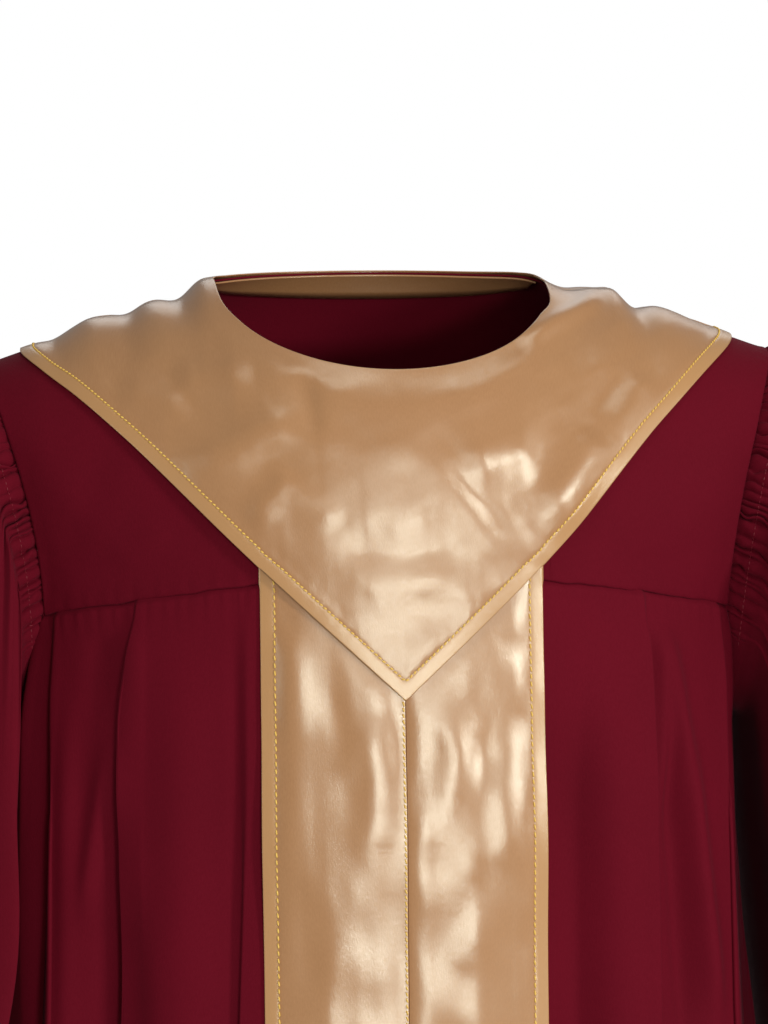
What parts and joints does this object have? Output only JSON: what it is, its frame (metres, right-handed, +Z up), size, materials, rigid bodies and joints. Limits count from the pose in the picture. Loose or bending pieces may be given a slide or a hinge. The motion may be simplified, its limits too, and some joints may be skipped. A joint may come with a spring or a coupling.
{
  "type": "choir robe in its worn form, held by the wearer",
  "caption": "Full-length choir robe in its hollow worn form: yoke with knife pleats, gathered bell sleeves, satin V collar and satin centre front panel.",
  "frame": {"origin": "midway between the side neck points, in the plane of the shoulder seams, where the robe is held", "axes": "+Z up, -Y the way the front faces, +X to the wearer's left"},
  "size_m": [0.7502, 0.4917, 1.3038],
  "materials": {
    "maroon_polyester": "matt woven polyester, deep maroon",
    "gold_satin": "lustrous satin weave, old gold"
  },
  "bodies": {
    "root": {"yoke_front_right": "maroon_polyester", "yoke_front_left": "maroon_polyester", "yoke_back": "maroon_polyester", "skirt_front_right": "maroon_polyester", "skirt_front_left": "maroon_polyester", "skirt_back": "maroon_polyester", "sleeve_right": "maroon_polyester", "sleeve_left": "maroon_polyester", "panel_right": "gold_satin", "panel_left": "gold_satin", "collar_front": "gold_satin", "collar_back": "gold_satin", "neck_facing": "gold_satin"}
  },
  "joints": []
}
